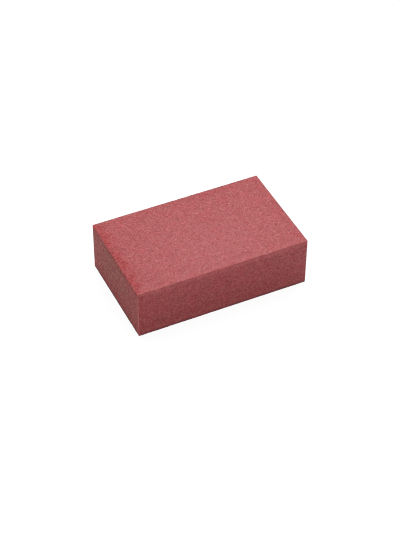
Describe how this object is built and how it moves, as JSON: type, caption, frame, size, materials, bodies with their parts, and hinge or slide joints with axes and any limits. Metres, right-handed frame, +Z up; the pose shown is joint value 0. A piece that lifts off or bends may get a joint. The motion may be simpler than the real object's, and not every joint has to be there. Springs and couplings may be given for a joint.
{
  "type": "rubbing block",
  "caption": "Plain rectangular hand rubbing block of red bonded abrasive, with six flat working faces and lightly eased arrises, for smoothing brick, stone, tile and concrete.",
  "frame": {"origin": "centre of the underside, which is the face the block rests on", "axes": "+X along the length, +Y along the width, +Z up through the thickness"},
  "size_m": [0.1, 0.0612, 0.0304],
  "materials": {
    "bonded_abrasive": "matte"
  },
  "bodies": {
    "root": {"abrasive_block": "bonded_abrasive"}
  },
  "joints": []
}
